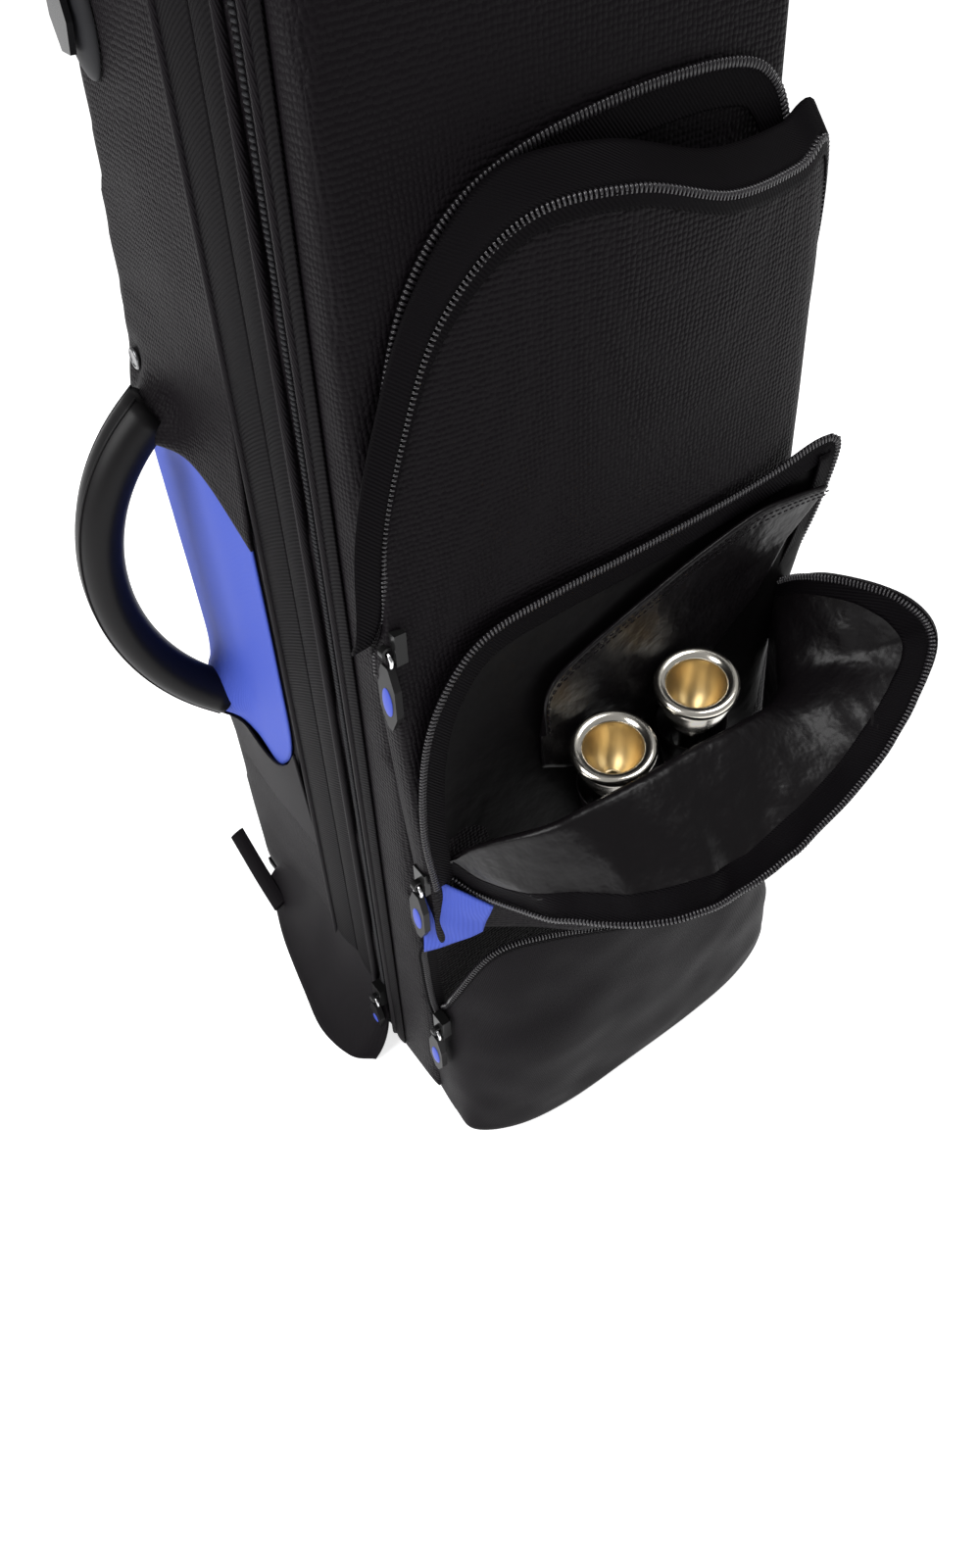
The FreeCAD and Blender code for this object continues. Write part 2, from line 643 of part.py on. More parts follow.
def make_slider(name):
    plate = solid("Box", name + "_slider_plate", {
        "Length": "slider_thick", "Width": "slider_wide", "Height": "slider_long"})
    at_slider(plate, name, "slider_thick", "-slider_wide / 2", "-slider_long / 2")
    neck = solid("Box", name + "_slider_neck", {"Length": LUG_OUT, "Width": "3", "Height": "5.4"})
    at_slider(neck, name, LUG_OUT, "-1.5", "-lug_drop - 2.7")
    lug = solid("Cylinder", name + "_slider_lug", {"Radius": "2.7", "Height": "3"})
    at_slider(lug, name, LUG_OUT, "1.5", "-lug_drop", (1, 0, 0), "90")
    hole = solid("Cylinder", name + "_slider_hole", {"Radius": "1.5", "Height": "5"})
    at_slider(hole, name, LUG_OUT, "2.5", "-lug_drop", (1, 0, 0), "90")
    block = fuse(name + "_slider_solid", [plate, neck, lug])
    node(cut(name + "_slider_drilled", block, hole), name + "_slider")


def make_pull(name):
    ring = solid("Torus", name + "_ring_wire", {"Radius1": "ring_big", "Radius2": "ring_wire"})
    at_slider(ring, name, LUG_OUT, "0", "-lug_drop - ring_big", angle="90 deg + atan(side_taper)")
    node(ring, name + "_pull_ring")

    owner = body(name + "_pull_body")
    sketch = sketch_polygon(owner, name + "_pull_face", "YZ_Plane", [
        ("-2.4", "0"), ("2.4", "0"), ("pull_wide / 2", "-pull_long * 0.3"),
        ("pull_wide / 2", "-pull_long * 0.72"), ("1.6", "-pull_long"), ("-1.6", "-pull_long"),
        ("-pull_wide / 2", "-pull_long * 0.72"), ("-pull_wide / 2", "-pull_long * 0.3")])
    tab = pad(owner, sketch, "pull_thick", centred=True)
    round_edges(owner, tab, (1, 0, 0), lambda middle: True, "1.4")
    at_slider(owner, name, LUG_OUT, "0", PULL_TOP)
    node(owner, name + "_pull")

    inlay = solid("Ellipsoid", name + "_inlay_dome", {"Radius1": "7", "Radius2": "0.9", "Radius3": "3.6"})
    at_slider(inlay, name, LUG_OUT + " + pull_thick / 2", "0", PULL_TOP + " - pull_long * 0.56")
    node(inlay, name + "_pull_inlay")


def make_everything():
    make_base_panel()
    make_rear_shell()
    make_foam_blocks()
    make_bands()
    make_back_pads()
    make_shoulder_straps()
    make_haul_loop()
    make_side_handle()
    make_handle_tabs()
    make_side_trim()
    make_base_skirt()
    make_lid_shell()
    make_lid_bands()
    make_pockets()
    make_blue_gusset()
    make_sleeves()
    make_organiser_panel()
    make_mouthpieces()
    for name in SLIDER_HEIGHTS:
        make_slider(name)
        make_pull(name)


def check_and_write():
    document.recompute()
    for item in document.Objects:
        if "Invalid" in item.State or "Error" in item.State:
            raise SystemExit("failed: %s %s" % (item.Name, item.getStatusString()))
    for item in nodes:
        if item.Shape.isNull() or not item.Shape.isValid() or not item.Shape.Solids:
            raise SystemExit("bad shape: " + item.Label)
    os.makedirs("parts", exist_ok=True)
    for item in nodes:
        item.Shape.exportStep("parts/%s.step" % item.Label)
        print(item.Label, "%.1f cm3" % (item.Shape.Volume / 1000))


make_everything()
check_and_write()
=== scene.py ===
import math

import bpy
import numpy as np
from mathutils import Matrix, Vector, noise


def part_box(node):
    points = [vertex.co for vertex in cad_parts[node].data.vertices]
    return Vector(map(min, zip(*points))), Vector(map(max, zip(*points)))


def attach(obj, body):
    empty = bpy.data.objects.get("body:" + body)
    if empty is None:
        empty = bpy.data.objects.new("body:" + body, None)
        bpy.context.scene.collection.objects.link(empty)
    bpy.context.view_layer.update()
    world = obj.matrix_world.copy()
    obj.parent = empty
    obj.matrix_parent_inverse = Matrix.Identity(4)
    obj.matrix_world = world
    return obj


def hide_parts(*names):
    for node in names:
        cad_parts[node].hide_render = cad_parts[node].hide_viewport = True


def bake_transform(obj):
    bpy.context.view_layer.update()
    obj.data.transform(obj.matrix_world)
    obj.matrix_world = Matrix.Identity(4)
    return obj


# Row frame, in metres: +Z up, the pockets on the -Y side, the side handle on the -X side.
# "Ahead" is a distance in front of the leaning front face; "out" is a distance off a side face.
# Points written out in lists are in millimetres: (x, height, ahead) on the front, (y, height) on a side.

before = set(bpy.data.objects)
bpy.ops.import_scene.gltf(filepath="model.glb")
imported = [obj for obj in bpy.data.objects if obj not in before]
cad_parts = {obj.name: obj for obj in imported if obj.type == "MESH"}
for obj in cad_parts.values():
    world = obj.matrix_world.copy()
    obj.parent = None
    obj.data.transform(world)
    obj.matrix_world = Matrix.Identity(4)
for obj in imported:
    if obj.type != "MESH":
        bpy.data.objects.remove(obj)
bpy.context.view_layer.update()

MM = 0.001

# ---------------------------------------------------------------- driving sizes, from the frame
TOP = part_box("rear_piping")[1].z
FOOT_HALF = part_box("base_panel")[1].x + 2 * MM            # half the width at the foot
ARCH_START = 817 * MM                                     # the straight sides end here
ARCH_HALF = TOP - 3 * MM - ARCH_START
TAPER = (FOOT_HALF - ARCH_HALF) / ARCH_START              # each side leans in by this much
LEAN = 0.0407                                             # and the front leans back by this much
FRONT = -110.7 * MM                                       # the front face at the floor
SEAM = -57 * MM                                           # plane of the main zip
BACK = [(0, 106), (200, 109), (345, 122), (500, 87), (680, 50), (817, 40), (900, 40)]   # (height, y)
CORNER = 13.0                                             # the side rounds over to the back, in mm


def half(z):
    return FOOT_HALF - TAPER * z


def back_y(z):
    levels, depths = zip(*BACK)
    return np.interp(z, np.array(levels) * MM, np.array(depths) * MM)


def ahead(x, z, forward):
    """A point in front of the leaning front face, from millimetres."""
    return np.array((x * MM, FRONT + LEAN * z * MM - forward * MM, z * MM))


def on_side(y, z, out):
    """A point on the left side face, from millimetres. The face rounds over towards the back."""
    past = min(max(0.0, y - (back_y(z * MM) / MM - CORNER)), CORNER)
    sunk = CORNER - math.sqrt(CORNER ** 2 - past ** 2)
    return np.array((-half(z * MM) - (out - sunk) * MM, y * MM, z * MM))


# ---------------------------------------------------------------- materials
def material(name, colour, rough, slot, metal=0.0, sheen=0.0, coat=0.0, shine=0.14, build=None):
    """A finish whose colour and roughness are constants; `build` adds a bump pattern."""
    made = bpy.data.materials.new(name)
    made.use_nodes = True
    nodes = made.node_tree.nodes
    shader = nodes["Principled BSDF"]
    shader.inputs["Base Color"].default_value = (*colour, 1)
    shader.inputs["Roughness"].default_value = rough
    shader.inputs["Metallic"].default_value = metal
    shader.inputs["Sheen Weight"].default_value = sheen
    shader.inputs["Sheen Roughness"].default_value = 0.4
    shader.inputs["Coat Weight"].default_value = coat
    shader.inputs["Specular IOR Level"].default_value = shine
    if build:
        build(made.node_tree, shader)
    made["slot"] = slot
    return made


def bump_of(tree, shader, height, strength, depth):
    bump = tree.nodes.new("ShaderNodeBump")
    bump.inputs["Strength"].default_value = strength
    bump.inputs["Distance"].default_value = depth
    tree.links.new(height, bump.inputs["Height"])
    tree.links.new(bump.outputs["Normal"], shader.inputs["Normal"])


def place_in_space(tree, texture, turn=(0, 0, 0)):
    where = tree.nodes.new("ShaderNodeTexCoord")
    mapping = tree.nodes.new("ShaderNodeMapping")
    mapping.inputs["Rotation"].default_value = turn
    tree.links.new(where.outputs["Object"], mapping.inputs["Vector"])
    tree.links.new(mapping.outputs["Vector"], texture.inputs["Vector"])


def honeycomb(cell, strength):
    """Raised dots, like a coarse woven cloth."""
    def build(tree, shader):
        cells = tree.nodes.new("ShaderNodeTexVoronoi")
        cells.inputs["Scale"].default_value = 1 / cell
        cells.inputs["Randomness"].default_value = 0.35
        place_in_space(tree, cells)
        bump_of(tree, shader, cells.outputs["Distance"], strength, -cell * 0.5)
    return build


def ribbed(pitch, strength, turn):
    """Fine straight ribs: twill, webbing or ripstop."""
    def build(tree, shader):
        wave = tree.nodes.new("ShaderNodeTexWave")
        wave.inputs["Distortion"].default_value = 0.4
        place_in_space(tree, wave, turn)
        wave.inputs["Scale"].default_value = 0.314 / pitch
        bump_of(tree, shader, wave.outputs["Fac"], strength, pitch * 0.4)
    return build


def crinkled(grain, strength):
    """Soft creases, like thin lining."""
    def build(tree, shader):
        creases = tree.nodes.new("ShaderNodeTexNoise")
        creases.inputs["Scale"].default_value = 1 / grain
        creases.inputs["Detail"].default_value = 3
        place_in_space(tree, creases)
        bump_of(tree, shader, creases.outputs["Fac"], strength, grain * 0.12)
    return build


BALLISTIC = material("ballistic_nylon", (0.0042, 0.003, 0.0042), 0.55, "ballistic_nylon", sheen=0.012,
                     shine=0.08, build=honeycomb(2.0 * MM, 0.8))
SMOOTH = material("smooth_nylon", (0.0055, 0.0043, 0.0056), 0.55, "smooth_nylon", sheen=0.012,
                  shine=0.08, build=ribbed(0.9 * MM, 0.35, (0, 0.4, 0.78)))
TWILL = material("twill_tape", (0.0026, 0.002, 0.0027), 0.6, "twill_tape", shine=0.05,
                 build=ribbed(1.1 * MM, 0.5, (0.6, 0.78, 0)))
BLUE = material("blue_ripstop", (0.056, 0.092, 0.45), 0.6, "blue_ripstop",
                build=ribbed(1.3 * MM, 0.3, (0, 0, 1.57)))
SATIN = material("satin_lining", (0.0042, 0.0034, 0.004), 0.34, "satin_lining", shine=0.19,
                 build=crinkled(15 * MM, 0.9))
LINING = material("dark_lining", (0.0022, 0.0018, 0.0021), 0.5, "satin_lining", shine=0.08,
                  build=crinkled(12 * MM, 0.5))
FOAM = material("black_foam", (0.012, 0.012, 0.0125), 0.85, "black_foam", sheen=0.03,
                build=crinkled(2 * MM, 0.2))
MESH = material("mesh_pad", (0.011, 0.011, 0.0115), 0.8, "mesh_pad", sheen=0.03,
                build=honeycomb(3.2 * MM, 1.0))
WEBBING = material("webbing", (0.009, 0.009, 0.0095), 0.65, "webbing", sheen=0.03,
                   build=ribbed(2.2 * MM, 0.8, (0, 1.57, 0)))
RUBBER = material("black_rubber", (0.006, 0.0055, 0.006), 0.42, "black_rubber", shine=0.16)
BLUE_RUBBER = material("blue_rubber", (0.05, 0.08, 0.45), 0.4, "blue_rubber")
CHROME = material("zip_metal", (0.72, 0.72, 0.73), 0.14, "zip_metal", metal=1.0)
GLOSS_PAINT = material("slider_black", (0.006, 0.006, 0.006), 0.3, "slider_black", coat=0.15)
COIL = material("coil_black", (0.02, 0.018, 0.021), 0.28, "slider_black", coat=0.1, shine=0.6)
STUD = material("stud_metal", (0.12, 0.12, 0.125), 0.25, "slider_black", metal=0.8, coat=0.4)
PLASTIC = material("black_plastic", (0.016, 0.016, 0.018), 0.5, "black_plastic")
GLOSS = material("gloss_black", (0.012, 0.012, 0.013), 0.16, "gloss_black", coat=0.5)
SILVER = material("silver_rim", (0.8, 0.76, 0.68), 0.16, "silver_brass", metal=1.0, shine=0.5)
GOLD = material("gold_cup", (0.74, 0.63, 0.43), 0.3, "silver_brass", metal=1.0, shine=0.5)
BASE = material("base_rubber", (0.013, 0.013, 0.014), 0.7, "base_rubber",
                build=honeycomb(2.6 * MM, 0.6))


# ---------------------------------------------------------------- mesh helpers
def through(points, count):
    """A smooth curve through points, as `count` points."""
    points = np.array(points, float)
    run = np.vstack((2 * points[0] - points[1], points, 2 * points[-1] - points[-2]))
    t = np.linspace(0, len(points) - 1, count)
    index = np.minimum(t.astype(int), len(points) - 2)
    part = (t - index)[:, None]
    before, here, following, beyond = (run[index + k] for k in range(4))
    return here + 0.5 * part * (following - before + part * (
        2 * before - 5 * here + 4 * following - beyond + part * (
            3 * (here - following) + beyond - before)))


def evenly(path, step):
    """The same path with its points `step` apart."""
    path = np.asarray(path, float)
    reach = np.concatenate(([0], np.cumsum(np.linalg.norm(np.diff(path, axis=0), axis=1))))
    places = np.linspace(0, reach[-1], max(2, int(round(reach[-1] / step)) + 1))
    return np.stack([np.interp(places, reach, path[:, axis]) for axis in range(3)], axis=1)


def unit(vectors):
    return vectors / np.maximum(np.linalg.norm(vectors, axis=-1, keepdims=True), 1e-12)


def make_mesh(name, points, faces, finishes, picks=None):
    mesh = bpy.data.meshes.new(name)
    mesh.from_pydata(np.asarray(points, float).reshape(-1, 3).tolist(), [], faces)
    for finish in finishes:
        mesh.materials.append(finish)
    if picks is not None:
        mesh.polygons.foreach_set("material_index", picks)
    mesh.polygons.foreach_set("use_smooth", [True] * len(mesh.polygons))
    mesh.update()
    piece = bpy.data.objects.new(name, mesh)
    bpy.context.scene.collection.objects.link(piece)
    return piece


def grid_normals(grid):
    return unit(np.cross(np.gradient(grid, axis=1), np.gradient(grid, axis=0)))


def cloth_grid(name, grid, thick, outer, inner=None):
    """A closed piece of cloth: `grid` is its outer face, and the inner face lies `thick` behind it."""
    rows, columns = grid.shape[:2]
    count = rows * columns
    points = np.concatenate((grid.reshape(-1, 3), (grid - grid_normals(grid) * thick).reshape(-1, 3)))
    number = np.arange(count).reshape(rows, columns)
    faces = []
    picks = []
    for row in range(rows - 1):
        for column in range(columns - 1):
            a, b = number[row, column], number[row, column + 1]
            c, d = number[row + 1, column + 1], number[row + 1, column]
            faces.append((a, b, c, d))
            faces.append((d + count, c + count, b + count, a + count))
            picks.extend((0, 1))
    border = list(number[0, :]) + list(number[1:, -1]) + list(number[-1, -2::-1]) + list(number[-2:0:-1, 0])
    for here, following in zip(border, border[1:] + border[:1]):
        faces.append((following, here, here + count, following + count))
        picks.append(0)
    return make_mesh(name, points, [tuple(map(int, face)) for face in faces],
                     [outer, inner or outer], picks)


def tube(name, path, across, wide, deep, finish, sides=12):
    """A round or oval rod along a path; `across` is the direction of its `wide` half size."""
    path = np.asarray(path, float)
    tangents = unit(np.gradient(path, axis=0))
    across = unit(np.broadcast_to(across, path.shape) - tangents * np.sum(
        np.broadcast_to(across, path.shape) * tangents, axis=1, keepdims=True))
    normals = np.cross(tangents, across)
    angles = np.linspace(0, 2 * math.pi, sides, endpoint=False)
    rings = path[:, None] + across[:, None] * (np.cos(angles) * wide)[None, :, None] \
        + normals[:, None] * (np.sin(angles) * deep)[None, :, None]
    faces = []
    for ring in range(len(path) - 1):
        for side in range(sides):
            following = (side + 1) % sides
            faces.append((ring * sides + side, ring * sides + following,
                          (ring + 1) * sides + following, (ring + 1) * sides + side))
    faces.append(tuple(range(sides))[::-1])
    faces.append(tuple(range((len(path) - 1) * sides, len(path) * sides)))
    return make_mesh(name, rings, faces, [finish])


def row_of_bars(name, path, across, pitch, long, wide, tall, finish):
    """Small rounded bars at even steps along a path: zip coils (long across) or stitches (long along)."""
    fine = evenly(path, pitch)
    reach = np.linspace(0, 1, len(fine))
    given = np.broadcast_to(across, np.asarray(path).shape)
    source = np.concatenate(([0], np.cumsum(np.linalg.norm(np.diff(path, axis=0), axis=1))))
    across = np.stack([np.interp(reach, source / source[-1], given[:, axis]) for axis in range(3)], axis=1)
    tangents = unit(np.gradient(fine, axis=0))
    across = unit(across - tangents * np.sum(across * tangents, axis=1, keepdims=True))
    normals = np.cross(tangents, across)
    ends = ((-1, 0.45), (-0.7, 1), (0.7, 1), (1, 0.45))
    sides = 6
    last = sides * (len(ends) - 1)
    angles = np.linspace(0, 2 * math.pi, sides, endpoint=False)
    shape = np.array([(math.cos(a) * long * size, end * wide, math.sin(a) * tall * size)
                      for end, size in ends for a in angles]) / 2
    bars = fine[:, None] + tangents[:, None] * shape[None, :, 0:1] \
        + across[:, None] * shape[None, :, 1:2] + normals[:, None] * shape[None, :, 2:3]
    single = [(ring + side, ring + (side + 1) % sides,
               ring + sides + (side + 1) % sides, ring + sides + side)
              for ring in range(0, last, sides) for side in range(sides)]
    single += [tuple(range(sides))[::-1], tuple(range(last, last + sides))]
    faces = [tuple(corner + (last + sides) * bar for corner in face)
             for bar in range(len(fine)) for face in single]
    return make_mesh(name, bars, faces, [finish])


def ribbon(name, path, across, wide, thick, finish, crown=0.0):
    """A flat tape centred on a path, lying along `across`."""
    path = np.asarray(path, float)
    tangents = unit(np.gradient(path, axis=0))
    across = unit(np.broadcast_to(across, path.shape))
    normals = np.cross(tangents, across)
    rows = [path + across * wide * share + normals * crown * (1 - 4 * share * share)
            for share in (-0.5, -0.44, -0.22, 0, 0.22, 0.44, 0.5)]
    return cloth_grid(name, np.stack(rows)[::-1], thick, finish)


def noise_at(points, grain, seed):
    flat = np.asarray(points).reshape(-1, 3)
    values = [noise.noise(Vector(point) / grain + Vector((seed, seed * 1.7, 0))) for point in flat]
    return np.array(values).reshape(np.asarray(points).shape[:-1])


def relax(grid, rounds):
    """Smooth the rows between their fixed first and last row."""
    for _ in range(rounds):
        grid[1:-1] = (grid[:-2] + 2 * grid[1:-1] + grid[2:]) / 4
    return grid


def soften(node, voxel, rounds, finish, move=None):
    """A cloth skin grown from a CAD solid: evenly meshed, its edges rounded, then moved by `move`."""
    source = bpy.data.objects[node]
    skin = bpy.data.objects.new(node + "_cloth", source.data.copy())
    bpy.context.scene.collection.objects.link(skin)
    remesh = skin.modifiers.new("even", "REMESH")
    remesh.mode = "VOXEL"
    remesh.voxel_size = voxel
    smooth = skin.modifiers.new("round", "SMOOTH")
    smooth.factor = 0.5
    smooth.iterations = rounds
    evaluated = skin.evaluated_get(bpy.context.evaluated_depsgraph_get())
    mesh = bpy.data.meshes.new_from_object(evaluated)
    skin.modifiers.clear()
    skin.data = mesh
    points = np.zeros(len(mesh.vertices) * 3)
    mesh.vertices.foreach_get("co", points)
    points = points.reshape(-1, 3)
    if move:
        normals = np.zeros(len(mesh.vertices) * 3)
        mesh.vertices.foreach_get("normal", normals)
        points = move(points, normals.reshape(-1, 3))
        mesh.vertices.foreach_set("co", points.ravel())
    mesh.materials.clear()
    mesh.materials.append(finish)
    mesh.polygons.foreach_set("use_smooth", [True] * len(mesh.polygons))
    mesh.update()
    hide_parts(node)
    return skin


# ---------------------------------------------------------------- the two padded shells
def fold_sides(points, normals):
    """Soft folds in the side cloth behind the bands, above the handle, and a quiet ripple elsewhere."""
    moved = points.copy()
    y, z = points[:, 1], points[:, 2]
    behind = np.clip((y - 0.005) / 0.03, 0, 1) * np.clip((0.115 - y) / 0.02, 0, 1)
    low = np.clip((0.24 - z) / 0.14, 0, 1)
    along = np.sin((y * 1000 - (z * 1000) * 0.12) / 9.5)
    depth = behind * (0.0019 * noise_at(points, 0.055, 3) + low * 0.0028 * (along - 0.4))
    sideways = np.abs(normals[:, 0]) ** 2
    above_handle = 1 - 0.95 * np.exp(-(z / 0.41) ** 6)
    moved += normals * (depth * sideways * above_handle)[:, None]
    calm = 0.0014 * noise_at(points, 0.07, 8) * (np.abs(normals[:, 1]) ** 2)
    moved += normals * calm[:, None]
    return moved


def make_shells():
    rear = soften("rear_shell", 5 * MM, 9, BALLISTIC, fold_sides)
    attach(rear, "case")
    lid = soften("lid_shell", 5 * MM, 7, BALLISTIC, fold_sides)
    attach(lid, "lid")


def outline(out, low=10 * MM, step=6 * MM):
    """Points (x, z) round the bag from the left foot over the arch to the right foot, and the way out."""
    heights = np.arange(low, ARCH_START, step)
    left = np.stack((-half(heights) - out, heights), axis=1)
    angles = np.arange(math.pi - 0.06, 0.06, -step / ARCH_HALF)
    arch = np.stack((np.cos(angles), np.sin(angles)), axis=1) * (ARCH_HALF + out) + (0, ARCH_START)
    right = left[::-1] * (-1, 1)
    points = np.concatenate((left, arch, right))
    way = unit(np.concatenate((left * 0 + (-1, TAPER), np.stack((np.cos(angles), np.sin(angles)), axis=1),
                               right * 0 + (1, TAPER))))
    return points, way


def outline_path(out, y, low=10 * MM):
    points, _ = outline(out, low)
    return np.stack((points[:, 0], np.full(len(points), y), points[:, 1]), axis=1)


def make_band(node, body, finish, lines):
    """A cloth band round the outline, slightly crowned, with rows of stitches."""
    low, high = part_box(node)
    wide = high.y - low.y
    middle = (low.y + high.y) / 2
    band = ribbon(node + "_cloth", outline_path(0.3 * MM, middle), (0, 1, 0), wide, 0.9 * MM, finish,
                  crown=0.7 * MM)
    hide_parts(node)
    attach(band, body)
    for index, y in enumerate(lines):
        row = row_of_bars("%s_stitches_%d" % (node, index), outline_path(0.9 * MM, y * MM), (0, 1, 0),
                          3.6 * MM, 2.7 * MM, 0.7 * MM, 0.6 * MM, SMOOTH)
        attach(row, body)


def make_piping(node, body):
    low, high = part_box(node)
    rod = tube(node + "_rod", outline_path(0.6 * MM, (low.y + high.y) / 2), (0, 1, 0),
               2.1 * MM, 2.1 * MM, SMOOTH, 10)
    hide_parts(node)
    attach(rod, body)


def make_bands():
    make_band("side_band", "case", TWILL, (-8.5, -27.5))
    make_band("zip_band", "case", TWILL, (-33, -44.5))
    make_band("lid_side_band", "lid", TWILL, (-69.5, -74))
    make_piping("rear_piping", "case")
    make_piping("zip_piping", "case")
    make_piping("lid_zip_piping", "lid")
    tape = ribbon("main_zip_tape_cloth", outline_path(-1.0 * MM, SEAM), (0, 1, 0),
                  6.0 * MM, 0.8 * MM, TWILL)
    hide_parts("main_zip_tape")
    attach(tape, "case")
    coil = row_of_bars("main_zip_coil", outline_path(0.1 * MM, SEAM), (0, 1, 0), 1.9 * MM, 1.3 * MM,
                       3.4 * MM, 1.6 * MM, PLASTIC)
    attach(coil, "case")


# ---------------------------------------------------------------- zip lines of the pockets
def zip_line(name, path, across, tape_wide, tape_shift=0.0, teeth=3.4 * MM):
    """A coil along a path with its tape beside it. Returns both pieces."""
    coarse = path
    path = evenly(coarse, 4 * MM)
    across = resample_across(across, coarse, path)
    tangents = unit(np.gradient(path, axis=0))
    across = unit(across - tangents * np.sum(across * tangents, axis=1, keepdims=True))
    tape = ribbon(name + "_tape", path + across * tape_shift, across, tape_wide, 0.9 * MM, TWILL)
    lift = np.cross(tangents, across) * 0.7 * MM
    coil = row_of_bars(name + "_coil", path + lift, across, 1.7 * MM, 1.25 * MM, teeth, 1.7 * MM, COIL)
    return tape, coil


def resample_across(vectors, old, new):
    source = np.linspace(0, 1, len(old))
    return np.stack([np.interp(np.linspace(0, 1, len(new)), source, vectors[:, axis])
                     for axis in range(3)], axis=1)


def pocket_sheet(name, stations, rows, columns, ripple, outer, inner, thick=1.8 * MM, rounds=6):
    """A pocket front drawn through stations: each lists the same run of points from foot to lip."""
    runs = [through([stations[s][k] for s in range(len(stations))], columns)
            for k in range(len(stations[0]))]
    legs = len(runs) - 1
    grid = []
    for leg in range(legs):
        for share in np.linspace(0, 1, rows // legs, endpoint=False):
            grid.append(runs[leg] * (1 - share) + runs[leg + 1] * share)
    grid.append(runs[-1])
    grid = relax(np.array(grid), rounds)
    normals = grid_normals(grid)
    inside = np.sin(np.linspace(0, math.pi, len(grid)))[:, None] * np.sin(
        np.linspace(0, math.pi, columns))[None, :]
    grid = grid + normals * (ripple(grid) * np.clip(inside * 3, 0, 1))[..., None]
    return cloth_grid(name, grid, thick, outer, inner), grid


def band_along_lip(grid, distances, lift):
    """Rows that follow a pocket sheet inward from its lip at given distances, lifted off its outer face."""
    normals = grid_normals(grid)
    rows = np.zeros((len(distances), grid.shape[1], 3))
    for column in range(grid.shape[1]):
        line, off = grid[::-1, column], normals[::-1, column]
        reach = np.concatenate(([0], np.cumsum(np.linalg.norm(np.diff(line, axis=0), axis=1))))
        for axis in range(3):
            rows[:, column, axis] = np.interp(distances, reach, line[:, axis]) \
                + lift * np.interp(distances, reach, off[:, axis])
    return rows


def lip_zip(name, grid, wide, inset=-1.4 * MM, lift=-0.8 * MM, tall=3.6 * MM):
    """A coil along the lip of a pocket sheet, with its tape on both faces."""
    distances = np.linspace(0, wide, 8)
    inside = band_along_lip(grid, distances, -1.9 * MM)
    inner_tape = cloth_grid(name + "_inner_tape", inside, 0.7 * MM, TWILL)
    outside = band_along_lip(grid, distances[:5] * 0.8, 0.7 * MM)
    outer_tape = cloth_grid(name + "_outer_tape", outside[::-1], 0.8 * MM, TWILL)
    lip = band_along_lip(grid, [1.2 * MM, 4 * MM], lift)
    fine = evenly(lip[0], 4 * MM)
    across = unit(resample_across(lip[1] - lip[0], lip[0], fine))
    coil = row_of_bars(name + "_coil", fine + across * inset, across, 1.7 * MM, 1.2 * MM, 3.0 * MM,
                       tall, COIL)
    return inner_tape, outer_tape, coil


def lip_gusset(name, lip, centre):
    """A taped flange that stands behind a lip's zip and leans back towards the bag."""
    outward = lip - centre
    outward[:, 1] = 0
    outward = unit(outward)
    gap = np.clip(FRONT + LEAN * lip[:, 2] - lip[:, 1] - 3 * MM, 0, 17 * MM)
    rows = [lip + outward * 9 * MM * share + np.array((0, 1, 0)) * (gap * share)[:, None]
            for share in np.linspace(0.06, 1, 8)]
    return cloth_grid(name, np.stack(rows)[::-1], 1.2 * MM, TWILL)


# ---------------------------------------------------------------- pockets
def make_mid_pocket():
    """The open middle pocket: its front folds down and shows the satin lining."""
    stations = [
        [(-106, 150, 3), (-104, 200, 4), (-103, 203, 3)],
        [(-98, 152, 8), (-94, 214, 16), (-94, 198, 12)],
        [(-84, 154, 18), (-84, 234, 34), (-85, 190, 27)],
        [(-66, 156, 34), (-66, 249, 53), (-75, 200, 60)],
        [(-45, 156, 52), (-45, 254, 58), (-55, 209, 90)],
        [(-15, 156, 59), (-22, 255, 60), (-36, 214, 105)],
        [(20, 156, 60), (5, 254, 60), (0, 209, 108)],
        [(45, 156, 60), (28, 251, 60), (37, 216, 108)],
        [(70, 156, 60), (50, 246, 58), (75, 228, 105)],
        [(88, 156, 58), (64, 239, 52), (104, 253, 100)],
        [(98, 156, 50), (76, 237, 45), (120, 272, 91)],
        [(103, 156, 36), (86, 241, 35), (112, 288, 75)],
        [(105, 156, 24), (94, 252, 25), (102, 285, 42)],
        [(105, 156, 16), (100, 262, 17), (101, 267, 15)],
    ]
    points = [[ahead(*point) for point in station] for station in stations]

    def ripple(grid):
        flap = np.clip(np.linspace(-1, 1, len(grid)), 0, 1)[:, None]
        near_lip = np.clip(np.linspace(-4, 1, len(grid)), 0, 1)[:, None]
        across = np.linspace(0, 1, grid.shape[1])[None, :]
        gathers = np.sin(across * 130 + 3 * noise_at(grid, 0.05, 1)) * (0.3 + 0.7 * across)
        creases = np.abs(noise_at(grid * (1.0, 0.45, 0.45), 0.019, 5)) - 0.25
        broad = noise_at(grid, 0.045, 5)
        return flap * (0.0065 * broad + 0.0065 * creases) + 0.0013 * near_lip * gathers

    front, grid = pocket_sheet("mid_pocket_front", points, 60, 110, ripple, BALLISTIC, SATIN)
    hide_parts("mid_pocket", "mid_flap")
    parts = [front, *lip_zip("mid_lip", grid, 15 * MM, inset=0.6 * MM, lift=-3.0 * MM, tall=1.8 * MM)]
    for part in parts:
        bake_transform(part)


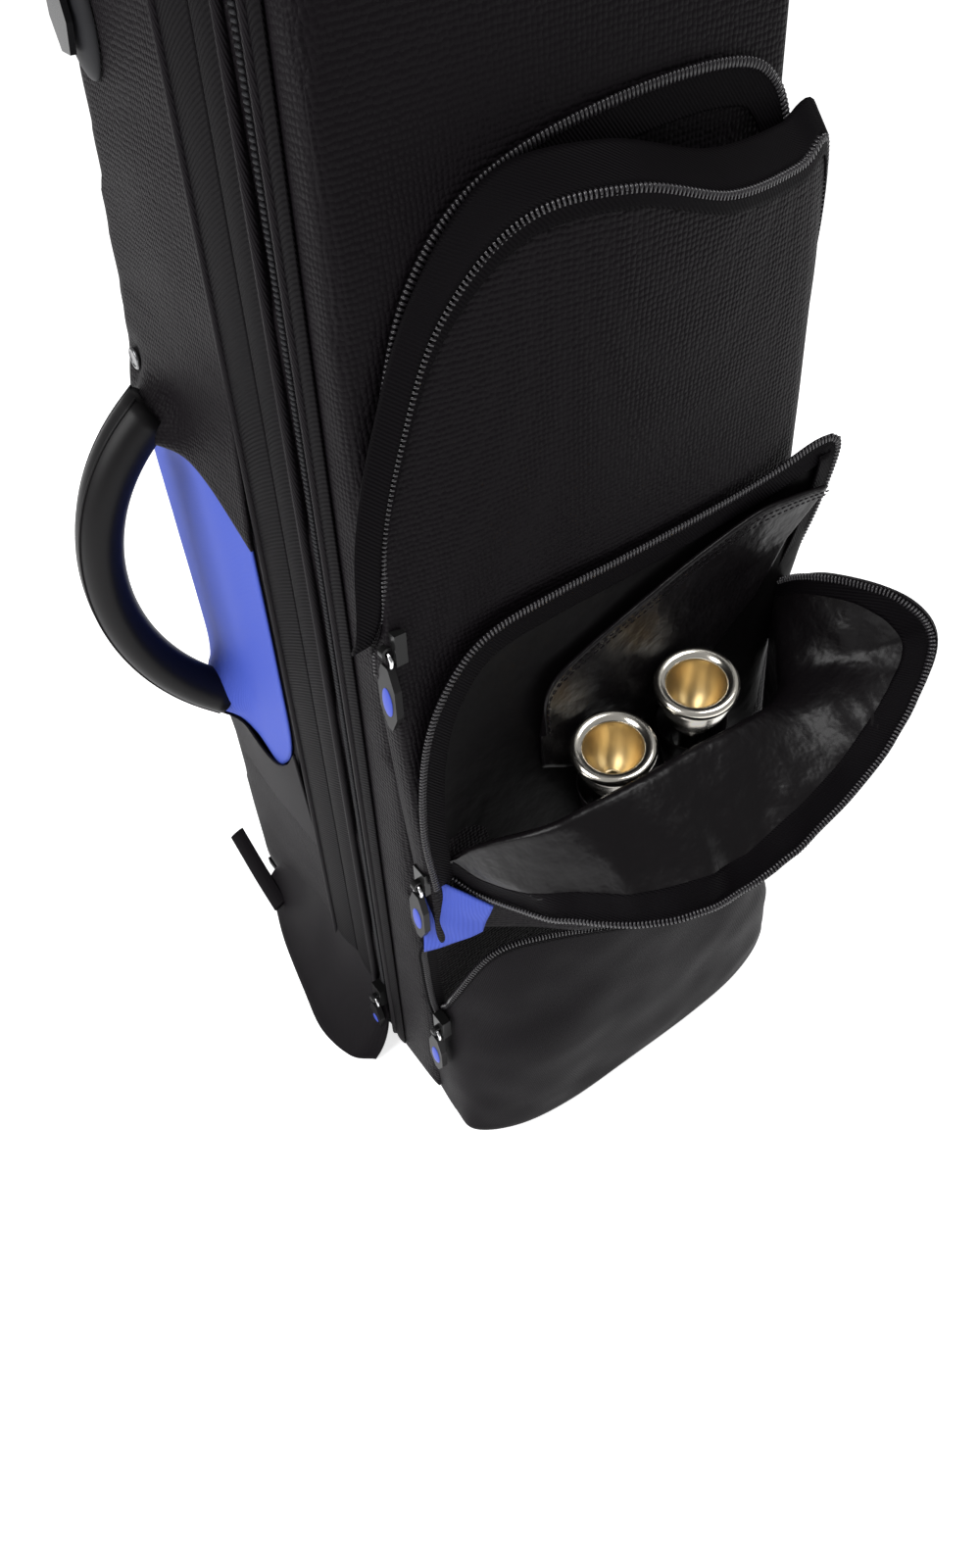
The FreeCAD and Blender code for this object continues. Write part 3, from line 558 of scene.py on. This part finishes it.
def make_mid_back():
    """The rear zip of the middle pocket and its lining."""
    arch = through([ahead(*p) for p in ((-104, 198, 15), (-105, 240, 16), (-98, 283, 17), (-84, 310, 18),
                                        (-64, 325, 19), (-30, 329, 20), (0, 329, 20), (50, 330, 20),
                                        (82, 332, 20), (108, 338, 22), (118, 334, 24), (114, 305, 21),
                                        (106, 274, 16))], 140)
    centre = ahead(0, 210, 16)
    tape, coil = zip_line("mid_rear", arch[::-1], centre - arch[::-1], 12 * MM, 4.5 * MM)
    lining_rows = []
    for share in np.linspace(0, 1, 20):
        foot = np.stack([ahead(x, 160, 15.5) for x in np.linspace(-98, 98, 140)])
        row = arch * (1 - share) + foot * share
        row[:, 1] += 0.0006 * noise_at(row, 0.03, 4) + 0.002 * math.sin(math.pi * share)
        lining_rows.append(row)
    lining_grid = np.stack(lining_rows)[:, ::-1]
    lining = cloth_grid("mid_lining", lining_grid, 0.8 * MM, LINING)
    for part in (tape, coil, lining):
        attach(part, "lid")


def make_organiser():
    """The stitched satin panel behind the mouthpieces, leaning forward at its top."""
    top = through([ahead(*p) for p in ((-42, 262, 24), (-40, 286, 24), (-19, 297, 24), (29, 312, 25),
                                       (67, 321, 26), (90, 321, 27), (113, 317, 27))], 60)
    middle = through([ahead(*p) for p in ((-42, 256, 18), (-38, 262, 18), (-19, 264, 17.5), (29, 270, 17.5),
                                          (62, 280, 18.5), (84, 290, 20), (96, 296, 22))], 60)
    foot = through([ahead(*p) for p in ((-42, 236, 17), (-20, 224, 17), (0, 226, 17), (30, 234, 17),
                                        (60, 250, 17.5), (84, 268, 19))], 60)
    rows = [top * (1 - share) + middle * share for share in np.linspace(0, 1, 14)]
    rows += [middle * (1 - share) + foot * share for share in np.linspace(0, 1, 12)[1:]]
    for row in rows:
        row[:, 1] += 0.0008 * noise_at(row, 0.03, 6)
    grid = np.stack(rows)[:, ::-1]
    panel = cloth_grid("organiser_cloth", grid, 1.6 * MM, SATIN)
    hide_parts("organiser_panel")
    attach(panel, "lid")
    for index, inset in enumerate((1, 2)):
        line = grid[inset][::-1] + (0, -1.0 * MM, 0)
        row = row_of_bars("organiser_stitches_%d" % index, line, (0, 0, 1), 3.4 * MM, 2.5 * MM,
                          0.7 * MM, 0.6 * MM, SMOOTH)
        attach(row, "lid")


def make_upper_pocket():
    """The tall pocket above; stations run from its left end to its right, each from foot to lip."""
    stations = [
        [(-106, 151, 1), (-106, 240, 1), (-105, 318, 1), (-104, 331, 1)],
        [(-107, 151, 9), (-107, 240, 9), (-104, 320, 7), (-100, 345, 6)],
        [(-104, 151, 14), (-104, 240, 14), (-101, 330, 10), (-95, 372, 7)],
        [(-90, 151, 15), (-90, 240, 14), (-88, 345, 11), (-84, 402, 8)],
        [(-65, 151, 15), (-65, 240, 14), (-66, 360, 15), (-65, 438, 10)],
        [(-30, 151, 15), (-30, 240, 14), (-32, 370, 17), (-36, 463, 18)],
        [(10, 151, 15), (10, 240, 14), (6, 370, 19), (0, 465, 27)],
        [(50, 151, 15), (50, 240, 14), (46, 370, 19), (40, 453, 28)],
        [(86, 151, 15), (86, 240, 14), (84, 360, 17), (78, 451, 22)],
        [(104, 151, 14), (104, 240, 14), (100, 350, 14), (96, 453, 16)],
        [(107, 151, 9), (107, 240, 9), (105, 335, 8), (104, 410, 9)],
        [(106, 151, -7), (105, 240, -7), (103, 318, -6), (102, 350, -3)],
    ]
    points = [[ahead(*point) for point in station] for station in stations]

    def ripple(grid):
        return 0.0009 * noise_at(grid, 0.06, 1)

    front, grid = pocket_sheet("upper_pocket_front", points, 60, 90, ripple, BALLISTIC, SMOOTH, rounds=3)
    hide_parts("upper_pocket", "upper_flap")
    strip = lip_gusset("upper_gusset", grid[-1], ahead(0, 340, 10))
    for part in (front, strip, *lip_zip("upper_lip", grid, 12 * MM)):
        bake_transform(part)
    arch = through([ahead(*p) for p in ((-104, 316, 0.4), (-99, 355, 1.6), (-93, 385, 1.6),
                                        (-84, 416, 1.6), (-69, 448, 1.6), (-42, 470, 1.6),
                                        (4, 480, 1.6), (60, 481, 1.6), (84, 470, 1.6),
                                        (96, 440, 1.6))], 120)
    tape, coil = zip_line("upper_rear", arch[::-1], ahead(0, 340, 1.6) - arch[::-1], 14 * MM, 5.5 * MM)
    for part in (tape, coil):
        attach(part, "lid")


def make_lower_pocket():
    """The low pocket at the foot, its lip sagging forward; stations as for the upper pocket."""
    stations = [
        [(-117, 3, -8), (-113, 50, -7), (-110, 82, -2)],
        [(-119, 3, 16), (-113, 50, 12), (-108, 92, 7)],
        [(-117, 3, 32), (-106, 50, 28), (-105, 106, 13)],
        [(-95, 3, 45), (-90, 60, 42), (-84, 138, 24)],
        [(-63, 3, 51), (-62, 60, 50), (-58, 142, 35)],
        [(-20, 3, 52), (-20, 60, 53), (-20, 133, 48)],
        [(30, 3, 52), (30, 60, 53), (25, 112, 51)],
        [(68, 3, 49), (68, 60, 51), (68, 108, 48)],
        [(98, 3, 40), (95, 60, 42), (90, 118, 32)],
        [(113, 3, 26), (108, 50, 24), (103, 105, 14)],
        [(117, 3, -8), (113, 50, -7), (110, 85, -4)],
    ]
    points = [[ahead(*point) for point in station] for station in stations]

    def ripple(grid):
        return 0.0022 * noise_at(grid, 0.05, 7) + 0.001 * noise_at(grid, 0.02, 9)

    front, grid = pocket_sheet("lower_pocket_front", points, 50, 90, ripple, SMOOTH, SMOOTH)
    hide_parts("lower_pocket", "lower_flap")
    for part in (front, *lip_zip("lower_lip", grid, 7 * MM)):
        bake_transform(part)
    arch = through([ahead(*p) for p in ((-111, 80, 2), (-113, 100, 3), (-113, 130, 4), (-111, 147, 5),
                                        (-98, 156, 12), (-80, 158, 18), (0, 150, 18), (80, 148, 16),
                                        (108, 140, 4))], 110)
    tape, coil = zip_line("lower_rear", arch[::-1], ahead(0, 60, 4) - arch[::-1], 10 * MM, 2 * MM)
    for part in (tape, coil):
        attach(part, "lid")


def make_blue_gusset():
    """The blue cloth between the middle and the lower pocket, seen at their left end."""
    top = through([ahead(*p) for p in ((-106, 202, 8), (-97, 196, 19), (-86, 188, 33))], 24)
    foot = through([ahead(*p) for p in ((-113, 147, 7), (-104, 153, 15), (-89, 163, 25))], 24)
    grid = np.stack([top * (1 - share) + foot * share for share in np.linspace(0, 1, 20)])
    grid += grid_normals(grid) * (0.0015 * noise_at(grid, 0.015, 3))[..., None]
    panel = cloth_grid("blue_gusset_cloth", grid[::-1], 1.0 * MM, BLUE)
    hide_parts("blue_gusset")
    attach(panel, "lid")


# ---------------------------------------------------------------- mouthpieces and their sleeves
UP_FRONT = Vector((0, math.sin(math.atan(LEAN)), math.cos(math.atan(LEAN))))


def lathe(name, profile, foot, axis, finishes, first, last, sides=56):
    """A turned piece about an axis; rings from `first` to `last` take the second finish."""
    turn = Vector((0, 0, 1)).rotation_difference(axis)
    angles = np.linspace(0, 2 * math.pi, sides, endpoint=False)
    rings = [[turn @ Vector((radius * math.cos(a), radius * math.sin(a), level)) + foot for a in angles]
             for radius, level in profile]
    faces = []
    picks = []
    for ring in range(len(profile)):
        following_ring = (ring + 1) % len(profile)
        for side in range(sides):
            following = (side + 1) % sides
            faces.append((ring * sides + side, ring * sides + following,
                          following_ring * sides + following, following_ring * sides + side))
            picks.append(1 if first <= ring < last else 0)
    return make_mesh(name, np.array(rings), faces, finishes, picks)


def make_mouthpieces():
    """Turned silver mouthpieces with gold cups, each lolling to the left and forward in its sleeve."""
    ahead_of_face = 38 * MM
    rim_heights = {"left": 251 * MM, "right": 260 * MM}
    rings = 103
    first_gold, last_gold = 62, 96
    slope = math.atan(LEAN)
    lolling = (UP_FRONT + Vector((-0.15, -0.19, 0))).normalized()
    outside = [(5.2, -80), (5.5, -41), (7.6, -33), (12, -26), (15.6, -16), (18.2, -7), (19.2, -3)]
    rim = [(18.6, -1), (17.2, 0), (15.2, -0.2), (13.4, -1.6)]
    cup = [(12.7, -4), (12.1, -10), (10.6, -17), (8, -23), (4.6, -28.5), (3.2, -33), (3.2, -80)]
    for side in ("left", "right"):
        low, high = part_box("mouthpiece_" + side)
        profile = through([(r * MM, h * MM, 0) for r, h in outside + rim + cup], rings)[:, :2]
        rim_height = rim_heights[side]
        top = Vector(((low.x + high.x) / 2,
                      FRONT - ahead_of_face * math.cos(slope) + rim_height * math.sin(slope),
                      rim_height * math.cos(slope) + ahead_of_face * math.sin(slope)))
        piece = lathe("mouthpiece_%s_turned" % side, profile, top, lolling, [SILVER, GOLD],
                      first_gold, last_gold)
        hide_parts("mouthpiece_" + side)
        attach(piece, "mouthpiece_" + side)
        wall = [(9, -84), (13, -60), (16.8, -32), (16.2, -31.5), (12.2, -60), (8.2, -83)]
        sleeve = lathe("sleeve_" + side, [(r * MM, h * MM) for r, h in wall], top, lolling,
                       [SATIN, SATIN], 0, 0, 32)
        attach(sleeve, "lid")
        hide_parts("mouthpiece_sleeves")


# ---------------------------------------------------------------- left side: handle, panel, covers
def make_side_handle():
    """An oval moulded grip bent to an arc, with two seam lines."""
    facing = math.radians(15)                             # turned back from square to the side
    off_side, centre_y, centre_z = 13.6 * MM, 71 * MM, 272 * MM
    radius, chord = 104.4 * MM, 160 * MM
    half_wide, half_deep = 13 * MM, 11 * MM
    way = np.array((-math.cos(facing), math.sin(facing), 0))
    middle = np.array((-half(centre_z) - off_side * math.cos(facing),
                       centre_y + off_side * math.sin(facing), centre_z))
    up = unit(np.array((TAPER, 0, 1.0)))
    reach = math.sqrt(radius ** 2 - (chord / 2) ** 2)
    spread = math.asin(chord / 2 / radius)
    angles = np.linspace(-spread, spread, 60)
    path = middle + way * (radius * np.cos(angles) - reach)[:, None] + up * (radius * np.sin(angles))[:, None]
    ends = [path[0] + (path[0] - path[1]) * 2, path[-1] + (path[-1] - path[-2]) * 2]
    path = np.concatenate(([ends[0]], path, [ends[1]]))
    across = np.cross(way, up)
    grip = tube("side_grip", path, across, half_wide, half_deep, RUBBER, 32)
    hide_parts("side_handle")
    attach(grip, "handle")
    outward = unit(path - (middle - way * reach))
    for index, share in enumerate((-0.5, 0.5)):
        line = path + outward * 9.6 * MM + across * (half_wide * share)
        seam = tube("side_grip_seam_%d" % index, line, across, 0.8 * MM, 0.6 * MM, RUBBER, 8)
        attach(seam, "handle")


def side_patch(name, edge, far, finish, lift, thick=1.4 * MM):
    """Cloth on the left side between two lines of (y, z) points, raised by `lift`(y, z, share) in mm."""
    a = through([(*p, 0) for p in edge], 40)[:, :2]
    b = through([(*p, 0) for p in far], 40)[:, :2]
    rows = []
    for share in np.linspace(0, 1, 36):
        row = a * (1 - share) + b * share
        rows.append([on_side(y, z, lift(y, z, share)) for y, z in row])
    grid = np.array(rows)
    return cloth_grid(name, grid, thick, finish), grid


def handle_mound(y, z):
    """How far the side cloth stands out (mm) over the two ends of the handle."""
    mounds = ((349, 17, 11), (190, 19, 14))               # height, how far out, half its spread
    nearness = math.exp(-((y - 75) / 16) ** 2)
    return nearness * sum(out * math.exp(-((z - level) / spread) ** 2) for level, out, spread in mounds)


def make_blue_panel():
    def lift(y, z, share):
        fold = math.sin((y - z * 0.09) / 7.5) * 0.5
        return 0.9 + fold * math.exp(-((y - 60) / 40) ** 2) + handle_mound(y, z)

    front_edge = [(7, 345), (6, 250), (9, 190), (30, 160)]
    back_edge = [(104, 350), (112, 280), (107, 218), (92, 177)]
    panel, grid = side_patch("blue_side_cloth", front_edge, back_edge, BLUE, lift, 1.0 * MM)
    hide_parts("blue_side_panel")
    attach(panel, "case")


def make_handle_covers():
    """The side cloth runs over the two ends of the handle, and dips under the press stud."""
    low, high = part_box("press_stud")
    stud_y, stud_z = (low.y + high.y) / 2 / MM, (low.z + high.z) / 2 / MM

    def over(hem_first):
        def lift(y, z, share):
            away = share if hem_first else 1 - share
            dip = 3.2 * math.exp(-((y - stud_y) / 9) ** 2 - ((z - stud_z) / 10) ** 2)
            return 3.0 - 4.8 * away + handle_mound(y, z) - dip
        return lift

    top_hem = [(1, 317), (30, 331), (54, 338), (74, 346), (92, 347), (116, 347)]
    top_seam = [(1, 398), (30, 400), (54, 402), (74, 402), (92, 402), (108, 400)]
    top, top_grid = side_patch("handle_cover_top", top_hem, top_seam, BALLISTIC, over(True))
    foot_seam = [(1, 110), (14, 110), (32, 110), (56, 112), (80, 114), (98, 116)]
    foot_hem = [(1, 194), (14, 176), (32, 164), (56, 166), (76, 186), (104, 190)]
    foot, foot_grid = side_patch("handle_cover_foot", foot_seam, foot_hem, SMOOTH, over(False))
    for piece, grid in ((top, top_grid), (foot, foot_grid)):
        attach(piece, "case")
    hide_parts("handle_tabs")


def make_skirt():
    """The base cloth flares out from the left side and lies on the floor, with a strap end at its rear."""
    columns = 70
    tops = [(84, 20), (78, 52), (64, 82), (40, 98), (0, 104), (-24, 98), (-42, 76), (-46, 50)]
    floor = [(-129, 82, 13), (-134, 66, 4), (-142, 40, 1.5), (-150, 0, 1.5), (-155, -32, 1.5),
             (-150, -58, 1.5), (-139, -70, 2)]
    strap = [(-131, 60, 9), (-130, 88, 14), (-128, 124, 22)]
    upper = through([on_side(y, z, -3) for y, z in tops], columns)
    lower = through([np.array(p) * MM for p in floor], columns)
    bend = np.stack((upper[:, 0] - 4 * MM, lower[:, 1], np.full(columns, 22 * MM)), axis=1)
    rows = []
    for share in np.linspace(0, 1, 30):
        pull = upper * (1 - share) ** 2 + 2 * share * (1 - share) * bend + lower * share ** 2
        pull[:, 0] -= 0.0025 * noise_at(pull * (1, 1, 0.4), 0.026, 12) * math.sin(math.pi * share)
        rows.append(pull)
    grid = np.array(rows)
    wing = cloth_grid("base_skirt_cloth", grid[::-1], 2.2 * MM, SMOOTH)
    strip = through([np.array(p) * MM for p in strap], 24)
    tip = ribbon("base_skirt_tip", strip[::-1], (0.94, 0, 0.34), 9 * MM, 2.4 * MM, SMOOTH, crown=0.8 * MM)
    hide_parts("base_skirt")
    for piece in (wing, tip):
        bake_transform(piece)


# ---------------------------------------------------------------- back: pads, straps, webbing
def make_back():
    for node, finish in (("upper_back_pad", MESH), ("lumbar_pad", MESH),
                         ("shoulder_strap_left", FOAM), ("shoulder_strap_right", FOAM),
                         ("floor_pad", FOAM), ("neck_block", FOAM)):
        pad = soften(node, 4 * MM, 4, finish)
        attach(pad, "case")
    for node in ("strap_webbing_left", "strap_webbing_right", "strap_anchors", "haul_loop"):
        tape = soften(node, 1.2 * MM if "webbing" in node else 2 * MM, 1, WEBBING)
        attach(tape, "case")


# ---------------------------------------------------------------- CAD pieces that stay as they are
def paint_cad():
    finishes = {"base_panel": BASE, "press_stud": STUD, "strap_fitting": PLASTIC,
                "fitting_tab": GLOSS, "strap_buckles": PLASTIC}
    for name in ("main", "upper", "mid", "lower"):
        finishes[name + "_slider"] = GLOSS_PAINT
        finishes[name + "_pull_ring"] = CHROME
        finishes[name + "_pull"] = RUBBER
        finishes[name + "_pull_inlay"] = BLUE_RUBBER
    for node, finish in finishes.items():
        item = bpy.data.objects[node]
        item.data.materials.clear()
        item.data.materials.append(finish)
        smooth = item.modifiers.new("round", "BEVEL")
        smooth.width = 0.35 * MM
        smooth.segments = 2
        smooth.limit_method = "ANGLE"


# ---------------------------------------------------------------- camera, floor and light
def make_camera():
    """Held 590 mm up, in front and to the left, looking down at the pockets."""
    place = (-0.2331, -0.3781, 0.590)
    right = Vector((0.8079, -0.5861, -0.0612))
    up = Vector((0.4722, 0.5819, 0.6621))
    data = bpy.data.cameras.new("camera")
    data.sensor_fit = "VERTICAL"
    data.sensor_height = 36
    data.lens = 24.65
    data.clip_start = 0.01
    camera = bpy.data.objects.new("camera", data)
    back = right.cross(up)
    turn = Matrix((right, up, back)).transposed().to_4x4()
    camera.matrix_world = Matrix.Translation(place) @ turn
    bpy.context.scene.collection.objects.link(camera)
    bpy.context.scene.camera = camera


def make_floor():
    """A white floor that glows a little, as under studio light."""
    bpy.ops.mesh.primitive_plane_add(size=8, location=(0, 0, 0))
    floor = bpy.context.object
    floor.name = "floor"
    white = material("floor_white", (0.93, 0.93, 0.935), 0.7, "floor")
    shader = white.node_tree.nodes["Principled BSDF"]
    shader.inputs["Emission Color"].default_value = (1, 1, 1, 1)
    shader.inputs["Emission Strength"].default_value = 0.72
    floor.data.materials.append(white)


def area_light(name, place, target, size, power):
    data = bpy.data.lights.new(name, "AREA")
    data.shape = "RECTANGLE"
    data.size, data.size_y = size
    data.energy = power
    light = bpy.data.objects.new(name, data)
    light.location = place
    light.rotation_euler = (Vector(target) - Vector(place)).to_track_quat("-Z", "Y").to_euler()
    bpy.context.scene.collection.objects.link(light)


def make_light():
    """An even white room, a large light on the left and a smaller one above."""
    bpy.context.scene.view_settings.view_transform = "Standard"
    world = bpy.data.worlds.new("studio")
    bpy.context.scene.world = world
    world.use_nodes = True
    background = world.node_tree.nodes["Background"]
    background.inputs["Color"].default_value = (1, 1, 1, 1)
    background.inputs["Strength"].default_value = 0.31
    area_light("key", (-1.7, 0.1, 1.5), (0, 0, 0.3), (1.2, 1.2), 37)
    area_light("top", (0.5, -0.6, 2.2), (0, -0.1, 0.3), (0.9, 0.9), 21)


make_shells()
make_bands()
make_upper_pocket()
make_mid_back()
make_organiser()
make_mid_pocket()
make_lower_pocket()
make_blue_gusset()
make_mouthpieces()
make_side_handle()
make_blue_panel()
make_handle_covers()
make_skirt()
make_back()
paint_cad()
make_camera()
make_floor()
make_light()
